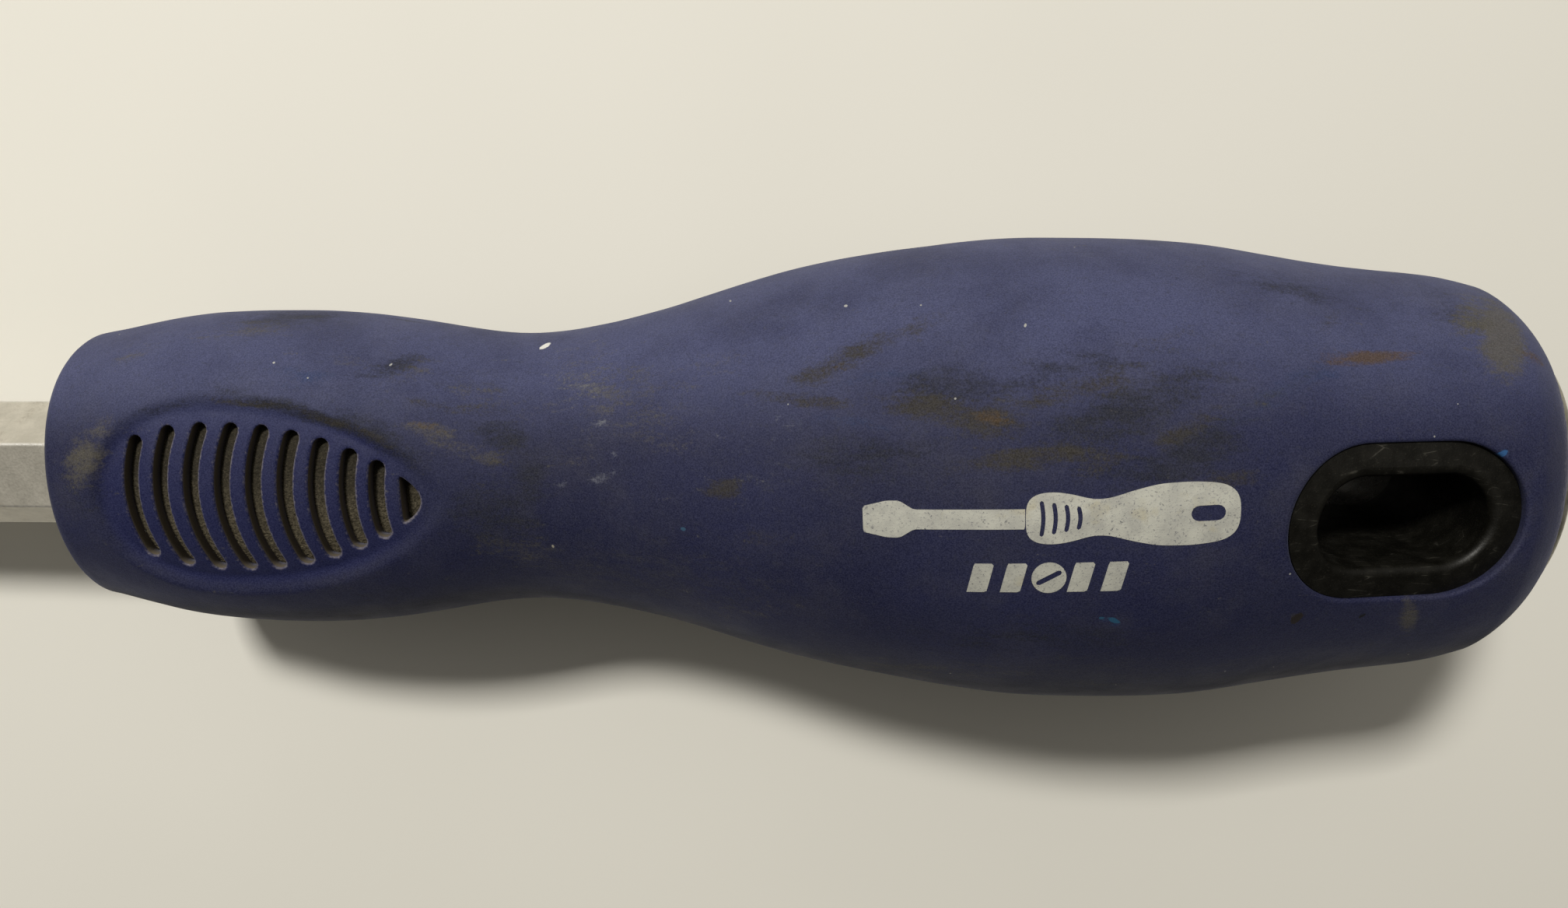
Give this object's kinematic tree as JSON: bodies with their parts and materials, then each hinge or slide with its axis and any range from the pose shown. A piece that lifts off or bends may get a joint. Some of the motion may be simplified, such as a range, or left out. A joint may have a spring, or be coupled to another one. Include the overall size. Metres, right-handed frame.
{
  "type": "screwdriver",
  "caption": "Heavy slotted screwdriver with a hexagonal steel blade, a hard handle with a soft grip, a thumb recess, a hanging slot and a steel strike cap.",
  "frame": {"origin": "centre of the end face of the blade's tip", "axes": "+X along the tool from the tip to the butt, +Z along the hanging slot, out of the face with the recess, +Y across the flat tip"},
  "size_m": [0.3228, 0.0382, 0.0382],
  "materials": {
    "blade_steel": "satin, finely mottled",
    "core_plastic": "matte",
    "body_plastic": "satin, glossy inside the hanging slot",
    "grip_rubber": "matte, fine grain, worn and smudged",
    "cap_steel": "dull, scuffed by hammer blows"
  },
  "bodies": {
    "root": {"blade": "blade_steel", "inner_core": "core_plastic", "handle_body": "body_plastic", "grip": "grip_rubber", "strike_cap": "cap_steel"}
  },
  "joints": []
}
